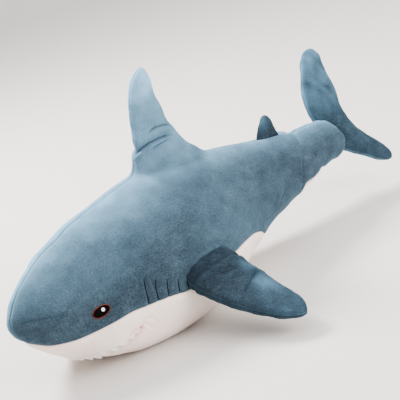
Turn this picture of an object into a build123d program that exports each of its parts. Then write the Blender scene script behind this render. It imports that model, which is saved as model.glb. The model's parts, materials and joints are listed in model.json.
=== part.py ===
from build123d import *
import math
import os

# Plush shark, lying on its belly.  Millimetres.  +X is forward (the nose), +Y is the shark's
# left, +Z is up.  The origin is under the middle of the shark, on the surface it lies on.
# Distances marked "back" are measured from the nose tip towards the tail.

LENGTH = 1000.0
NOSE_X = LENGTH / 2
COVER = 3.0            # plush fabric with its backing
THREAD = 1.2           # height of embroidery above the fabric

# Body cross-sections: distance back, half width, top height, bottom height.
# Bottoms below zero are pressed flat against the surface that the shark lies on.
BODY_STATIONS = [
    (0, 4, 150, 142),
    (8, 20, 166, 118),
    (24, 37, 187, 95),
    (55, 61, 214, 63),
    (111, 90, 241, 25),
    (177, 114, 262, -1),
    (261, 132, 277, -15),
    (346, 134, 287, -14),
    (431, 119, 283, 0),
    (515, 93, 265, 30),
    (600, 70, 242, 58),
    (684, 57, 222, 78),
    (760, 49, 208, 95),
    (816, 43, 201, 105),
    (850, 40, 192, 110),
    (874, 31, 178, 121),
    (886, 18, 164, 135),
]
WIDEST = 0.40          # height of the widest point, as a share of the section's height
RIDGE_POWER = 1.68     # under 2 draws the back up to a soft ridge
BELLY_POWER = 2.7      # over 2 fills out the flanks low down
SECTION_POINTS = 28
MOST_OF_HEIGHT = 0.4   # share of a small section's height, and of its half width, that
MOST_OF_WIDTH = 0.7    # an inset may take away

# Edge between the blue back and the white belly: distance back, height.
COLOUR_SEAM = [(-20, 121), (26, 98), (77, 92), (143, 100), (199, 102), (250, 98), (300, 92),
               (370, 94), (430, 98), (480, 97), (535, 87), (600, 73), (650, 78), (700, 91),
               (745, 103), (790, 107), (840, 109), (900, 120)]

# Mouth: a slit across the underside.  Its corners are on one line across the head, which is
# also where the lower jaw bends.  Angles are below horizontal, looking forward from there.
MOUTH_BACK = 188.0
MOUTH_HEIGHT = 75.0
LIP_ANGLE = 18.0
TEETH_ANGLE = 27.5
JAW_TOP_ANGLE = 29.0
JAW_REAR_ANGLE = 66.0
BELLY_FRONT_ANGLE = 78.0
LINING = 1.5
JAW_CORE_HOLE = 4.0    # radius kept free around the line that the jaw bends about
TOOTH_FELT = 1.6
TOOTH_BAND = 2.0
TOOTH_COUNT = 17
TEETH_SPREAD = 66.0    # half angle that the row of teeth covers, seen from the corners' middle

EYE_BACK = 129.0
EYE_HEIGHT = 127.0
EYE_RING = (15.0, 10.0)
EYE_PUPIL = (11.5, 7.5)
EYE_GLINT = 2.8
GLINT_SHIFT = (-3.5, 2.5)

# Gill stitches: distance back and height of the top end, then of the bottom end.
GILLS = [
    (217, 149, 209, 104),
    (236, 140, 228, 102),
    (256, 131, 249, 100),
    (277, 121, 272, 97),
    (295, 116, 292, 95),
]
GILL_WIDTH = 2.6

# Fin sections: distance out from the hinge, leading edge, trailing edge, half thickness.
# Edges are measured back from the nose.
DORSAL_ROWS = [
    (0, 337, 485, 20),
    (22, 346, 465, 19),
    (50, 351, 448, 17.5),
    (84, 357, 436, 15.5),
    (118, 366, 428, 13),
    (142, 377, 420, 10),
    (154, 386, 412, 7),
    (159, 394, 405, 4),
]
DORSAL_HEIGHT = 309.0
DORSAL_SLOPE = 5.0          # the back falls away towards the tail here
SECOND_DORSAL_ROWS = [
    (0, 662, 722, 9),
    (12, 666, 714, 8),
    (25, 672, 706, 6.5),
    (33, 679, 701, 4.5),
    (37, 685, 696, 2.5),
]
SECOND_DORSAL_HEIGHT = 233.0
SECOND_DORSAL_SLOPE = 10.0
PECTORAL_ROWS = [
    (0, 298, 417, 20),
    (30, 298, 411, 19),
    (60, 305, 408, 17),
    (92, 314, 406, 15),
    (122, 326, 404, 12.5),
    (150, 342, 401, 9.5),
    (168, 357, 397, 7),
    (178, 370, 389, 4),
]
PECTORAL_Y = 155.5
PECTORAL_HEIGHT = 98.0
PECTORAL_DROOP = 20.0

# Tail fin sections run from the lower tip to the upper tip, along its hinge line.
TAIL_ROWS = [
    (-118, 974, 992, 4),
    (-104, 954, 999, 8),
    (-86, 930, 991, 11),
    (-64, 904, 975, 14),
    (-42, 892, 959, 16),
    (-15, 891, 943, 18),
    (15, 891, 936, 18),
    (40, 884, 938, 17),
    (62, 862, 942, 16),
    (90, 851, 946, 15),
    (118, 864, 949, 13.5),
    (145, 882, 956, 11.5),
    (168, 900, 961, 9),
    (180, 914, 957, 6.5),
    (187, 926, 946, 4),
]
TAIL_HINGE_BACK = 891.0
TAIL_HEIGHT = 158.0
TAIL_ROLL = 25.0       # the soft tail fin lies over, its lower lobe towards the left

ROOT_CAP = (0.5, 0.87, 0.98)    # heights of a rounded root's sections, as shares of its radius
MOST_OF_THICKNESS = 0.5         # share of a fin's half thickness that an inset may take away

FAR = 400.0            # reaches past the body from any point inside it

Y_AXIS = Vector(0, 1, 0)


def x_of(back):
    """X position of a distance back from the nose."""
    return NOSE_X - back


def power_curve(angle, power):
    """A point on the unit superellipse of this power."""
    c = math.cos(angle)
    s = math.sin(angle)
    across = math.copysign(abs(c) ** (2 / power), c)
    up = math.copysign(abs(s) ** (2 / power), s)
    return across, up


def body_section(back, half_width, top, bottom):
    """Closed outline of the body across the given station."""
    middle = bottom + WIDEST * (top - bottom)
    points = []
    for i in range(SECTION_POINTS):
        angle = 2 * math.pi * i / SECTION_POINTS
        upper = math.sin(angle) >= 0
        across, up = power_curve(angle, RIDGE_POWER if upper else BELLY_POWER)
        reach = top - middle if upper else middle - bottom
        points.append((x_of(back), half_width * across, middle + reach * up))
    return Wire([Edge.make_spline(points, periodic=True)])


def body_form(inset):
    """The whole body, drawn in by inset on every side, flat where it lies on the floor."""
    sections = []
    last = len(BODY_STATIONS) - 1
    for i, (back, half_width, top, bottom) in enumerate(BODY_STATIONS):
        if i == 0:
            back += inset
        if i == last:
            back -= inset
        squeeze = min(inset, MOST_OF_HEIGHT * (top - bottom), MOST_OF_WIDTH * half_width)
        sections.append(body_section(back, half_width - squeeze, top - squeeze, bottom + squeeze))
    form = Solid.make_loft(sections)
    floor_level = max(inset, 0)
    above_floor = Pos(0, 0, floor_level) * Box(
        2 * LENGTH, LENGTH, LENGTH, align=(Align.CENTER, Align.CENTER, Align.MIN))
    return form & above_floor


def side_prism(points):
    """Solid with the given side outline, reaching right across the body."""
    outline = Polyline([(x, 0, z) for x, z in points], close=True)
    return extrude(make_face(outline), FAR, dir=Y_AXIS, both=True)


def mouth_wedge(upper_angle, lower_angle):
    """Everything ahead of the mouth's corners between two angles below horizontal."""
    corner = (x_of(MOUTH_BACK), MOUTH_HEIGHT)
    points = [corner]
    for angle in (upper_angle, lower_angle):
        turn = math.radians(angle)
        points.append((corner[0] + FAR * math.cos(turn), corner[1] - FAR * math.sin(turn)))
    return side_prism(points)


def mouth_slab(angle, thickness):
    """Sheet lying along one side of the mouth; a negative thickness goes below the angle."""
    turn = math.radians(angle)
    ahead = (math.cos(turn), -math.sin(turn))
    upward = (math.sin(turn), math.cos(turn))
    x, z = x_of(MOUTH_BACK), MOUTH_HEIGHT
    start = (x + JAW_CORE_HOLE * ahead[0], z + JAW_CORE_HOLE * ahead[1])
    end = (x + FAR * ahead[0], z + FAR * ahead[1])
    lifted = [(px + thickness * upward[0], pz + thickness * upward[1]) for px, pz in (end, start)]
    return side_prism([start, end] + lifted)


def below_seam():
    """Everything under the edge between the blue and the white fabric."""
    seam = Spline([(x_of(back), 0, height) for back, height in COLOUR_SEAM])
    first = seam @ 0
    last = seam @ 1
    floor = -FAR
    rest = Polyline([last, (last.X, 0, floor), (first.X, 0, floor), first])
    return extrude(make_face([seam, rest]), FAR, dir=Y_AXIS, both=True)


def one_solid(shape):
    """The largest solid of a result, which drops any crumbs."""
    return max(shape.solids(), key=lambda solid: solid.volume)


def surface_point(form, x, z, side):
    """Point and outward normal on the body's flank, side +1 for left and -1 for right."""
    hits = form.find_intersection_points(Axis((x, 0, z), (0, side, 0)))
    return [hit for hit in hits if hit[0].Y * side > 0][-1]


def eye_parts(form, layer, side):
    """Embroidered ring, pupil and glint of one eye."""
    point, normal = surface_point(form, x_of(EYE_BACK), EYE_HEIGHT, side)
    face = Plane(origin=point, x_dir=(1, 0, 0), z_dir=(normal.X, normal.Y, normal.Z))
    depth = 2 * EYE_RING[1]

    def column(outline):
        return extrude(face * outline, depth, both=True)

    ring_area = column(Ellipse(*EYE_RING))
    pupil_area = column(Ellipse(*EYE_PUPIL))
    glint_up = face.y_dir.Z
    glint_area = column(Pos(GLINT_SHIFT[0], math.copysign(GLINT_SHIFT[1], glint_up)) * Circle(EYE_GLINT))
    return {
        "eye_ring": one_solid(layer & (ring_area - pupil_area)),
        "eye_pupil": one_solid(layer & (pupil_area - glint_area)),
        "eye_glint": one_solid(layer & glint_area),
    }


def gill_part(layer, gill, side):
    """One line of satin stitch on the flank."""
    top_back, top_height, bottom_back, bottom_height = gill
    half = GILL_WIDTH / 2
    outline = [
        (x_of(top_back) - half, top_height),
        (x_of(top_back) + half, top_height),
        (x_of(bottom_back) + half, bottom_height),
        (x_of(bottom_back) - half, bottom_height),
    ]
    face = make_face(Polyline([(x, 0, z) for x, z in outline], close=True))
    return one_solid(layer & extrude(face, FAR, dir=(0, side, 0)))


def teeth_strip(form):
    """Zigzag felt strip hanging from the upper lip."""
    strip = (form - body_form(TOOTH_FELT)) & mouth_wedge(LIP_ANGLE, TEETH_ANGLE)
    turn = math.radians(LIP_ANGLE)
    ahead = Vector(math.cos(turn), 0, -math.sin(turn))
    plane_normal = Vector(math.sin(turn), 0, math.cos(turn))
    middle = Vector(x_of(MOUTH_BACK), 0, MOUTH_HEIGHT)

    def lip(angle):
        swing = math.radians(angle)
        ray = ahead * math.cos(swing) + Y_AXIS * math.sin(swing)
        return form.find_intersection_points(Axis(middle, ray))[-1]

    step = 2 * TEETH_SPREAD / TOOTH_COUNT
    for i in range(TOOTH_COUNT + 1):
        valley = -TEETH_SPREAD + i * step
        point, normal = lip(valley)
        left, _ = lip(valley - step / 2)
        right, _ = lip(valley + step / 2)
        half = (right - left).length / 2
        down = (plane_normal - normal * plane_normal.dot(normal)).normalized() * -1
        along = normal.cross(down).normalized()
        notch_plane = Plane(origin=point, x_dir=along, z_dir=normal)
        sign = 1 if notch_plane.y_dir.dot(down) > 0 else -1
        reach = 2 * half
        notch = make_face(Polyline([
            (0, sign * TOOTH_BAND),
            (half * 2, sign * (TOOTH_BAND + reach)),
            (-half * 2, sign * (TOOTH_BAND + reach)),
        ], close=True))
        strip = strip - extrude(notch_plane * notch, 4 * TOOTH_FELT, both=True)
    edge_angle = math.radians(TEETH_SPREAD)
    side_cut = FAR * math.sin(edge_angle)
    front_cut = FAR * math.cos(edge_angle)
    fan = make_face(Polyline([
        (middle.X, 0, 0),
        (middle.X + front_cut, side_cut, 0),
        (middle.X + front_cut, -side_cut, 0),
    ], close=True))
    fan_column = extrude(fan, FAR, dir=(0, 0, 1), both=True)
    return one_solid(strip & fan_column)


def fin_form(rows, frame, middle_back, inset, rounded_root):
    """Fin lofted through elliptical sections; frame's X runs back along the hinge line."""
    sections = []
    for out, lead, trail, half_thickness in rows:
        half_chord = (trail - lead) / 2
        centre = (trail + lead) / 2 - middle_back
        squeeze = min(inset, MOST_OF_THICKNESS * half_thickness)
        sections.append((out, centre, half_chord - squeeze, half_thickness - squeeze))
    sections[-1] = (rows[-1][0] - inset,) + sections[-1][1:]
    if rounded_root:
        out, centre, half_chord, half_thickness = sections[0]
        for share in ROOT_CAP:
            scale = math.sqrt(1 - share ** 2)
            cap = (-share * half_thickness, centre, half_chord * scale, half_thickness * scale)
            sections.insert(0, cap)
    else:
        sections[0] = (rows[0][0] + inset,) + sections[0][1:]
    wires = []
    for out, centre, half_chord, half_thickness in sections:
        plane = frame.offset(out)
        outline = plane * (Pos(centre, 0) * Ellipse(half_chord, half_thickness))
        wires.append(outline.face().outer_wire())
    return Solid.make_loft(wires)


def fin_parts(name, rows, frame, middle_back, sides, rounded_root=True):
    """Two cover panels and the filling of one fin; sides names the +Y and -Y panels."""
    outer = fin_form(rows, frame, middle_back, 0, rounded_root)
    inner = fin_form(rows, frame, middle_back, COVER, rounded_root)
    shell = outer - inner
    half_space = Box(2 * FAR, FAR, 2 * FAR, align=(Align.CENTER, Align.MIN, Align.CENTER))
    positive = Location(frame) * half_space
    return {
        f"{name}_{sides[0]}_panel": one_solid(shell & positive),
        f"{name}_{sides[1]}_panel": one_solid(shell - positive),
        f"{name}_stuffing": inner,
    }


def tilted_frame(origin, back_dir, out_dir):
    """Frame of a fin: X back along the hinge, Z out along the fin, Y across its thickness."""
    return Plane(origin=origin, x_dir=back_dir, z_dir=out_dir)


def root_middle(rows):
    """Distance back of the middle of a fin's root."""
    return (rows[0][1] + rows[0][2]) / 2


def body_parts():
    """Panels, filling, mouth and embroidery of the body and the lower jaw."""
    form = body_form(0)
    core = body_form(COVER)
    shell = form - core
    belly_zone = below_seam()
    left_half = Box(2 * LENGTH, LENGTH, 2 * LENGTH, align=(Align.CENTER, Align.MIN, Align.CENTER))
    blue = shell - belly_zone
    white = shell & belly_zone
    under_lip = mouth_wedge(LIP_ANGLE, BELLY_FRONT_ANGLE)
    hinge_line = Pos(x_of(MOUTH_BACK), 0, MOUTH_HEIGHT) * Rot(90, 0, 0)
    jaw_zone = mouth_wedge(JAW_TOP_ANGLE, JAW_REAR_ANGLE) - hinge_line * Cylinder(JAW_CORE_HOLE, 2 * FAR)
    ahead_of_mouth = Pos(x_of(MOUTH_BACK), 0, 0) * Box(
        LENGTH, LENGTH, 2 * LENGTH, align=(Align.MIN, Align.CENTER, Align.CENTER))
    roof = core & mouth_slab(LIP_ANGLE, LINING)
    jaw_core = core & jaw_zone
    floor = jaw_core & mouth_slab(JAW_TOP_ANGLE, -LINING)
    parts = {
        "back_panel_left": one_solid(blue & left_half),
        "back_panel_right": one_solid(blue - left_half),
        "snout_underside_panel": one_solid((white & ahead_of_mouth) - under_lip),
        "belly_panel": one_solid(white - ahead_of_mouth),
        "body_stuffing": one_solid(core - under_lip - roof),
        "mouth_roof_lining": one_solid(roof),
        "lower_jaw_panel": one_solid(white & jaw_zone),
        "lower_jaw_stuffing": one_solid(jaw_core - floor),
        "mouth_floor_lining": one_solid(floor),
        "upper_teeth": teeth_strip(form),
    }
    behind = (white & ahead_of_mouth) & mouth_wedge(BELLY_FRONT_ANGLE, 90.0)
    parts["belly_panel"] = one_solid(parts["belly_panel"] + one_solid(behind))
    parts["snout_underside_panel"] = one_solid(parts["snout_underside_panel"] - behind)
    embroidery = body_form(-THREAD) - form
    for side, side_name in ((1, "left"), (-1, "right")):
        for name, solid in eye_parts(form, embroidery, side).items():
            parts[f"{name}_{side_name}"] = solid
        for i, gill in enumerate(GILLS):
            parts[f"gill_stitch_{side_name}_{i + 1}"] = gill_part(embroidery, gill, side)
    return parts


def all_parts():
    """Every node of the shark by name."""
    parts = body_parts()
    back = Vector(-1, 0, 0)
    back_fins = (
        ("dorsal_fin", DORSAL_ROWS, DORSAL_HEIGHT, DORSAL_SLOPE),
        ("second_dorsal_fin", SECOND_DORSAL_ROWS, SECOND_DORSAL_HEIGHT, SECOND_DORSAL_SLOPE),
    )
    for name, rows, height, slope_angle in back_fins:
        slope = math.radians(slope_angle)
        middle = root_middle(rows)
        frame = tilted_frame((x_of(middle), 0, height), Vector(-math.cos(slope), 0, -math.sin(slope)),
                             Vector(-math.sin(slope), 0, math.cos(slope)))
        parts.update(fin_parts(name, rows, frame, middle, ("right", "left")))
    droop = math.radians(PECTORAL_DROOP)
    pectoral_middle = root_middle(PECTORAL_ROWS)
    for side, side_name in ((1, "left"), (-1, "right")):
        out = Vector(0, side * math.cos(droop), -math.sin(droop))
        origin = (x_of(pectoral_middle), side * PECTORAL_Y, PECTORAL_HEIGHT)
        frame = tilted_frame(origin, back, out)
        panels = ("upper", "lower") if frame.y_dir.Z > 0 else ("lower", "upper")
        parts.update(fin_parts(f"pectoral_fin_{side_name}", PECTORAL_ROWS, frame,
                               pectoral_middle, panels))
    roll = math.radians(TAIL_ROLL)
    tail_up = Vector(0, -math.sin(roll), math.cos(roll))
    frame = tilted_frame((x_of(TAIL_HINGE_BACK), 0, TAIL_HEIGHT), back, tail_up)
    panels = ("left", "right") if frame.y_dir.Y > 0 else ("right", "left")
    parts.update(fin_parts("tail_fin", TAIL_ROWS, frame, TAIL_HINGE_BACK, panels,
                           rounded_root=False))
    return parts


os.makedirs("parts", exist_ok=True)
for node, solid in all_parts().items():
    export_step(solid, f"parts/{node}.step")
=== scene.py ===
import json
import math

import bmesh
import bpy
import numpy as np
from mathutils import Matrix, Vector
from mathutils.bvhtree import BVHTree
from mathutils.kdtree import KDTree


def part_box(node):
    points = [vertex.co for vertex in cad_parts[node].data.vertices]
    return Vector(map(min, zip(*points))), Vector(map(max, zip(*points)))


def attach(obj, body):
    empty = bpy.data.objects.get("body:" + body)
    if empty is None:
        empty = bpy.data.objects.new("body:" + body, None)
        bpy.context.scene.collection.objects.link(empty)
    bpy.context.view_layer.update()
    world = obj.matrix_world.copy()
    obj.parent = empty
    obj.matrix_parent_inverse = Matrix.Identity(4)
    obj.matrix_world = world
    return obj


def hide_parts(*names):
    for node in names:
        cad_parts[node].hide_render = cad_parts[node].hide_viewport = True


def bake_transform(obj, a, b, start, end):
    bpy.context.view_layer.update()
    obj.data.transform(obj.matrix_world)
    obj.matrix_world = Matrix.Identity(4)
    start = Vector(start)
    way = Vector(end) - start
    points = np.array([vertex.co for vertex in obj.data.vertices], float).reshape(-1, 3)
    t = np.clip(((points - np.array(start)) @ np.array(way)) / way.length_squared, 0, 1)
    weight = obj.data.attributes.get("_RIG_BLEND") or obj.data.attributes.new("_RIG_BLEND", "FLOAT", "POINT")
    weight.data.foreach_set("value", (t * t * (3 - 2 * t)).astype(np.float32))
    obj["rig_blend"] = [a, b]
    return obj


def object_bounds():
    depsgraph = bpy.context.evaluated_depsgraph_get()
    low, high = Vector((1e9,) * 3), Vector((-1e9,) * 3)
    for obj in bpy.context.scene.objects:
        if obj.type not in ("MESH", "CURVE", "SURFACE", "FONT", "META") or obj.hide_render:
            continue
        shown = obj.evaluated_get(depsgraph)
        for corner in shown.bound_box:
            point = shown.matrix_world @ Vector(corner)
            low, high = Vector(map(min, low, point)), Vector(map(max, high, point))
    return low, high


# Plush shark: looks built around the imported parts.  Metres.  +X is the nose, +Y the shark's left,
# +Z up.  "back" is the distance from the nose tip towards the tail.

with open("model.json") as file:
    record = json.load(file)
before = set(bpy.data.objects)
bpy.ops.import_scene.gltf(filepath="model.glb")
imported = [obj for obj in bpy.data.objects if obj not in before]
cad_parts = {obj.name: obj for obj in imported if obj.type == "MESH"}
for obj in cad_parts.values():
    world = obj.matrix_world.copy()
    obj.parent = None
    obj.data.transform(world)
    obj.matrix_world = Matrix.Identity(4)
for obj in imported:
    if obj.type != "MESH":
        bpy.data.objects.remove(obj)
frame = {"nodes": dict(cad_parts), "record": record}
cad_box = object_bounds()
JOINTS = {joint["name"]: joint for joint in frame["record"]["behaviour"]["joints"]}
NOSE_X = cad_box[1].x
MOUTH = Vector(JOINTS["lower_jaw_bend"]["pos_m"])      # middle of the line through the mouth's corners
SIDES = {"left": 1, "right": -1}
GILLS = range(1, 6)

BODY_VOXEL = 0.0042    # the body covers' faces end up half this size


# ---------------------------------------------------------------- small helpers

def smoothstep(low, high, value):
    """0 below low, 1 above high, smooth between; low may be the larger."""
    t = np.clip((value - low) / (high - low), 0.0, 1.0)
    return t * t * (3 - 2 * t)


def bell(distance, width):
    """1 at no distance, fading over width."""
    return np.exp(-(distance / width) ** 2)


def waves(points, size, seed):
    """Smooth, repeatable noise about -1 to 1 with features of the given size."""
    rng = np.random.default_rng(seed)
    total = np.zeros(len(points))
    for _ in range(7):
        direction = rng.normal(size=3)
        direction /= np.linalg.norm(direction)
        pitch = size * rng.uniform(0.7, 1.6)
        total += np.sin(points @ direction * (2 * math.pi / pitch) + rng.uniform(0, 2 * math.pi))
    return total / 3.0


def shade_smooth(obj):
    obj.data.polygons.foreach_set("use_smooth", [True] * len(obj.data.polygons))


def new_object(name, vertices, faces):
    mesh = bpy.data.meshes.new(name)
    mesh.from_pydata([tuple(v) for v in vertices], [], [tuple(f) for f in faces])
    mesh.validate()
    obj = bpy.data.objects.new(name, mesh)
    bpy.context.scene.collection.objects.link(obj)
    shade_smooth(obj)
    mesh.update()
    return obj


def coordinates(obj):
    out = np.empty(len(obj.data.vertices) * 3)
    obj.data.vertices.foreach_get("co", out)
    return out.reshape(-1, 3)


def set_coordinates(obj, points):
    obj.data.vertices.foreach_set("co", np.asarray(points, float).ravel())
    obj.data.update()


def normals(obj):
    out = np.empty(len(obj.data.vertices) * 3)
    obj.data.vertex_normals.foreach_get("vector", out)
    return out.reshape(-1, 3)


def edge_list(obj):
    out = np.empty(len(obj.data.edges) * 2, int)
    obj.data.edges.foreach_get("vertices", out)
    return out.reshape(-1, 2)


def relax(obj, times, weight=1.0):
    """Moves each vertex towards its neighbours' mean; weight may differ by vertex."""
    points = coordinates(obj)
    edges = edge_list(obj)
    size = len(points)
    count = np.maximum(np.bincount(edges.ravel(), minlength=size), 1)
    weight = np.broadcast_to(np.asarray(weight, float), (size,))
    for _ in range(times):
        for axis in range(3):
            value = points[:, axis]
            total = (np.bincount(edges[:, 0], value[edges[:, 1]], size)
                     + np.bincount(edges[:, 1], value[edges[:, 0]], size))
            points[:, axis] = value + 0.5 * weight * (total / count - value)
    set_coordinates(obj, points)


def write_attribute(obj, name, values):
    layer = obj.data.attributes.get(name) or obj.data.attributes.new(name, "FLOAT", "POINT")
    layer.data.foreach_set("value", np.asarray(values, np.float32))


def apply_modifiers(obj):
    graph = bpy.context.evaluated_depsgraph_get()
    mesh = bpy.data.meshes.new_from_object(obj.evaluated_get(graph))
    obj.modifiers.clear()
    obj.data = mesh
    shade_smooth(obj)
    mesh.update()


def voxel_remesh(obj, size):
    remesh = obj.modifiers.new("remesh", "REMESH")
    remesh.mode = "VOXEL"
    remesh.voxel_size = size
    apply_modifiers(obj)


def face_outwards(obj):
    """Makes the faces of a closed mesh point out."""
    work = bmesh.new()
    work.from_mesh(obj.data)
    bmesh.ops.recalc_face_normals(work, faces=work.faces)
    work.to_mesh(obj.data)
    work.free()


def face_along(obj, direction):
    """Turns an open sheet's faces to the side that direction points to."""
    if obj.data.polygons[len(obj.data.polygons) // 2].normal.dot(direction) < 0:
        obj.data.flip_normals()


def tree_of(objects):
    """Search tree over the faces of several objects, without faces too small to have a direction."""
    vertices, faces = [], []
    for obj in objects:
        start = len(vertices)
        vertices += [obj.matrix_world @ v.co for v in obj.data.vertices]
        faces += [[start + i for i in p.vertices] for p in obj.data.polygons if p.area > 1e-9]
    return BVHTree.FromPolygons(vertices, faces)


def grid_faces(rows, columns, closed):
    """Faces of a grid whose rows run one after another; closed joins the last column to the first."""
    faces = []
    for r in range(rows - 1):
        for c in range(columns if closed else columns - 1):
            d = (c + 1) % columns
            faces.append((r * columns + c, r * columns + d, (r + 1) * columns + d, (r + 1) * columns + c))
    return faces


def tube_mesh(name, rings):
    """Closed mesh through rings of equal length, with a fan at both ends."""
    rings = [np.asarray(r) for r in rings]
    count = len(rings[0])
    points = list(np.concatenate(rings))
    faces = grid_faces(len(rings), count, True)
    for ring, at_start in ((0, True), (len(rings) - 1, False)):
        middle = len(points)
        points.append(rings[ring].mean(axis=0))
        for c in range(count):
            pair = (ring * count + c, ring * count + (c + 1) % count)
            faces.append((pair[1], pair[0], middle) if at_start else (pair[0], pair[1], middle))
    obj = new_object(name, points, faces)
    face_outwards(obj)
    return obj


def spline(rows, share):
    """Smooth interpolation through rows of numbers at the given shares, 0 to 1, of their first column."""
    rows = np.asarray(rows, float)
    at = rows[:, 0]
    wanted = at[0] + (at[-1] - at[0]) * np.asarray(share)
    slopes = np.gradient(rows, at, axis=0)
    index = np.clip(np.searchsorted(at, wanted, side="right") - 1, 0, len(at) - 2)
    span = (at[index + 1] - at[index])[:, None]
    t = ((wanted - at[index])[:, None]) / span
    a, b = rows[index], rows[index + 1]
    ta, tb = slopes[index] * span, slopes[index + 1] * span
    return ((2 * t**3 - 3 * t**2 + 1) * a + (t**3 - 2 * t**2 + t) * ta
            + (-2 * t**3 + 3 * t**2) * b + (t**3 - t**2) * tb)


# ---------------------------------------------------------------- camera, light and floor

VIEW_FROM_AZIMUTH = -126.9      # heading of the view, anticlockwise from +X
VIEW_DOWN = 19.8
VIEW_ROLL = -15.6               # the shark is seen tilted, nose down
VIEW_DISTANCE = 1.887
VIEW_TARGET = Vector((0.033, 0.002, 0.175))
LENS_MM = 86.0


def make_camera():
    heading, down, roll = (math.radians(a) for a in (VIEW_FROM_AZIMUTH, VIEW_DOWN, VIEW_ROLL))
    forward = Vector((math.cos(down) * math.cos(heading), math.cos(down) * math.sin(heading),
                      -math.sin(down)))
    level = forward.cross(Vector((0, 0, 1))).normalized()
    upright = level.cross(forward)
    right = level * math.cos(roll) + upright * math.sin(roll)
    up = upright * math.cos(roll) - level * math.sin(roll)
    camera = bpy.data.objects.new("camera", bpy.data.cameras.new("camera"))
    bpy.context.scene.collection.objects.link(camera)
    camera.data.lens = LENS_MM
    camera.data.clip_end = 50
    turn = Matrix((right, up, -forward)).transposed().to_4x4()
    camera.matrix_world = Matrix.Translation(VIEW_TARGET - forward * VIEW_DISTANCE) @ turn
    bpy.context.scene.camera = camera


def make_light(name, place, target, size, power, colour):
    light = bpy.data.lights.new(name, "AREA")
    light.shape = "DISK"
    light.size = size
    light.energy = power
    light.color = colour
    obj = bpy.data.objects.new(name, light)
    bpy.context.scene.collection.objects.link(obj)
    obj.location = place
    obj.rotation_mode = "QUATERNION"
    obj.rotation_quaternion = (Vector(target) - Vector(place)).to_track_quat("-Z", "Y")


def make_studio():
    world = bpy.data.worlds.new("studio")
    world.use_nodes = True
    sky = world.node_tree.nodes["Background"]
    sky.inputs["Color"].default_value = (0.93, 0.95, 1.0, 1)
    sky.inputs["Strength"].default_value = 3.2
    bpy.context.scene.world = world
    middle = (0, 0, 0.15)
    make_light("key", (0.5, -1.7, 2.3), middle, 1.0, 290, (1.0, 0.985, 0.96))
    make_light("fill", (-0.8, 2.2, 1.4), middle, 1.6, 115, (1.0, 0.97, 0.94))

    # A floor that turns up into a wall far behind, so that no horizon shows.
    reach, curve, steps, wall_top = 5.0, 2.0, 16, 8.0
    turn_up = [(reach + curve * math.sin(a), curve * (1 - math.cos(a)))
               for a in np.linspace(0, math.pi / 2, steps)]
    profile = [(0.0, 0.0)] + turn_up + [(reach + curve, wall_top)]
    around = 96
    points = []
    for radius, height in profile:
        for i in range(around):
            angle = 2 * math.pi * i / around
            points.append((max(radius, 0.01) * math.cos(angle), max(radius, 0.01) * math.sin(angle),
                           height))
    faces = grid_faces(len(profile), around, True) + [tuple(range(around))[::-1]]
    floor = new_object("floor", points, faces)
    material = bpy.data.materials.new("floor")
    material.use_nodes = True
    shader = material.node_tree.nodes["Principled BSDF"]
    shader.inputs["Base Color"].default_value = (0.62, 0.59, 0.56, 1)
    shader.inputs["Roughness"].default_value = 0.9
    floor.data.materials.append(material)


# ---------------------------------------------------------------- materials

class Nodes:
    """Short calls for building one material's nodes."""

    def __init__(self, name):
        self.material = bpy.data.materials.new(name)
        self.material.use_nodes = True
        self.tree = self.material.node_tree
        self.shader = self.tree.nodes["Principled BSDF"]
        self.coordinates = self.tree.nodes.new("ShaderNodeTexCoord").outputs["Object"]

    def put(self, socket, value):
        """Links a node's output to a socket, or sets the socket to a number or a colour."""
        if isinstance(value, bpy.types.NodeSocket):
            self.tree.links.new(value, socket)
        else:
            socket.default_value = (*value, 1) if isinstance(value, tuple) else value

    def attribute(self, name):
        node = self.tree.nodes.new("ShaderNodeAttribute")
        node.attribute_name = name
        return node.outputs["Fac"]

    def noise(self, scale, detail=3.0, roughness=0.55, stretch=None, distortion=0.0):
        node = self.tree.nodes.new("ShaderNodeTexNoise")
        node.inputs["Scale"].default_value = scale
        node.inputs["Detail"].default_value = detail
        node.inputs["Roughness"].default_value = roughness
        node.inputs["Distortion"].default_value = distortion
        source = self.coordinates
        if stretch:
            mapping = self.tree.nodes.new("ShaderNodeMapping")
            mapping.inputs["Scale"].default_value = stretch
            self.put(mapping.inputs["Vector"], source)
            source = mapping.outputs["Vector"]
        self.put(node.inputs["Vector"], source)
        return node.outputs["Fac"]

    def ramp(self, value, stops):
        node = self.tree.nodes.new("ShaderNodeValToRGB")
        ramp = node.color_ramp
        while len(ramp.elements) < len(stops):
            ramp.elements.new(0.5)
        for element, (place, colour) in zip(ramp.elements, stops):
            element.position = place
            element.color = (*colour, 1)
        self.put(node.inputs["Fac"], value)
        return node.outputs["Color"]

    def math(self, operation, a, b, clamp=False):
        node = self.tree.nodes.new("ShaderNodeMath")
        node.operation = operation
        node.use_clamp = clamp
        self.put(node.inputs[0], a)
        self.put(node.inputs[1], b)
        return node.outputs[0]

    def mix(self, share, a, b):
        node = self.tree.nodes.new("ShaderNodeMix")
        node.data_type = "RGBA"
        for socket, value in ((0, share), (6, a), (7, b)):      # the node's sockets for colours
            self.put(node.inputs[socket], value)
        return node.outputs[2]

    def bump(self, height, strength, distance, normal=None):
        node = self.tree.nodes.new("ShaderNodeBump")
        node.inputs["Strength"].default_value = strength
        node.inputs["Distance"].default_value = distance
        self.put(node.inputs["Height"], height)
        if normal:
            self.put(node.inputs["Normal"], normal)
        return node.outputs["Normal"]

    def finish(self, colour, normal, **constants):
        for name, value in {"Base_Color": colour, "Normal": normal, **constants}.items():
            self.put(self.shader.inputs[name.replace("_", " ")], value)
        return self.material


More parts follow.
